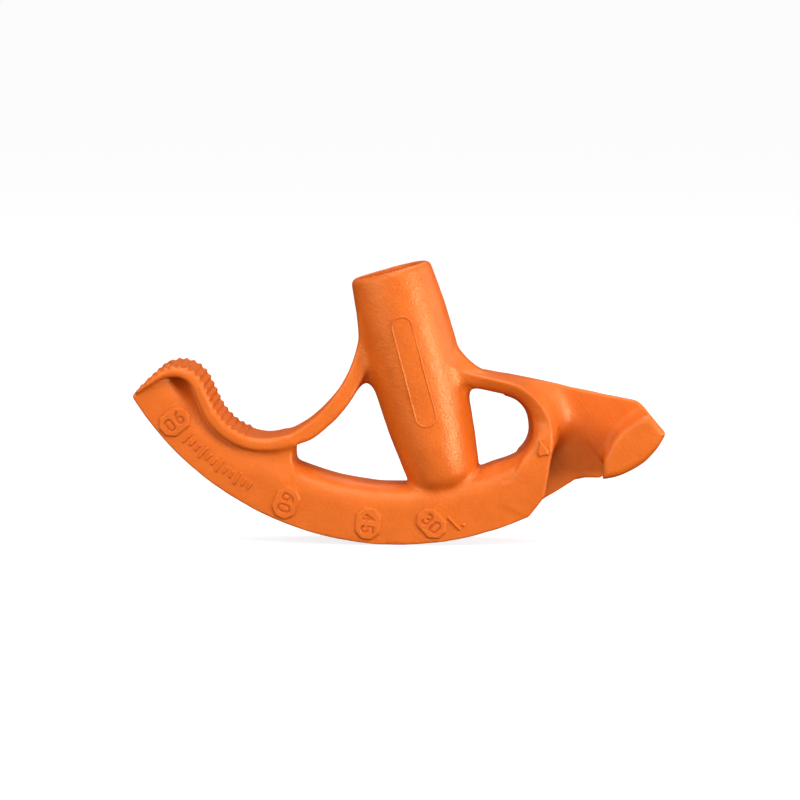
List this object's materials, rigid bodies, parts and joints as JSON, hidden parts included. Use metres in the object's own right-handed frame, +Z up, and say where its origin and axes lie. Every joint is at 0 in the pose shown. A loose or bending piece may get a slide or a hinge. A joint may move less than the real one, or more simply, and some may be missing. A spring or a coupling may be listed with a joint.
{
  "type": "conduit bender head",
  "caption": "Cast head of a hand bender for thin-wall steel conduit: grooved bending shoe with degree marks, foot pedal, side-entry hook and a threaded socket for a pipe handle.",
  "frame": {"origin": "on the floor under the middle of the head, standing on the two lips of its groove", "axes": "+Z up, +X towards the hook, -Y out of the side with the degree marks, which is the side the conduit goes in from"},
  "size_m": [0.2379, 0.0408, 0.1249],
  "materials": {
    "painted_casting": "satin powder coat over a lightly pebbled casting"
  },
  "bodies": {
    "root": {"handle_socket": "painted_casting", "bending_shoe": "painted_casting", "heel_block": "painted_casting", "near_lip": "painted_casting", "far_lip": "painted_casting", "foot_pedal": "painted_casting", "tread_ridges": "painted_casting", "rear_brace": "painted_casting", "front_brace": "painted_casting", "front_post": "painted_casting", "far_cheek": "painted_casting", "hook_seat": "painted_casting", "hook_finger": "painted_casting", "degree_pad_30": "painted_casting", "degree_pad_45": "painted_casting", "degree_pad_60": "painted_casting", "degree_pad_90": "painted_casting", "start_arrow": "painted_casting", "centre_bar": "painted_casting"}
  },
  "joints": []
}
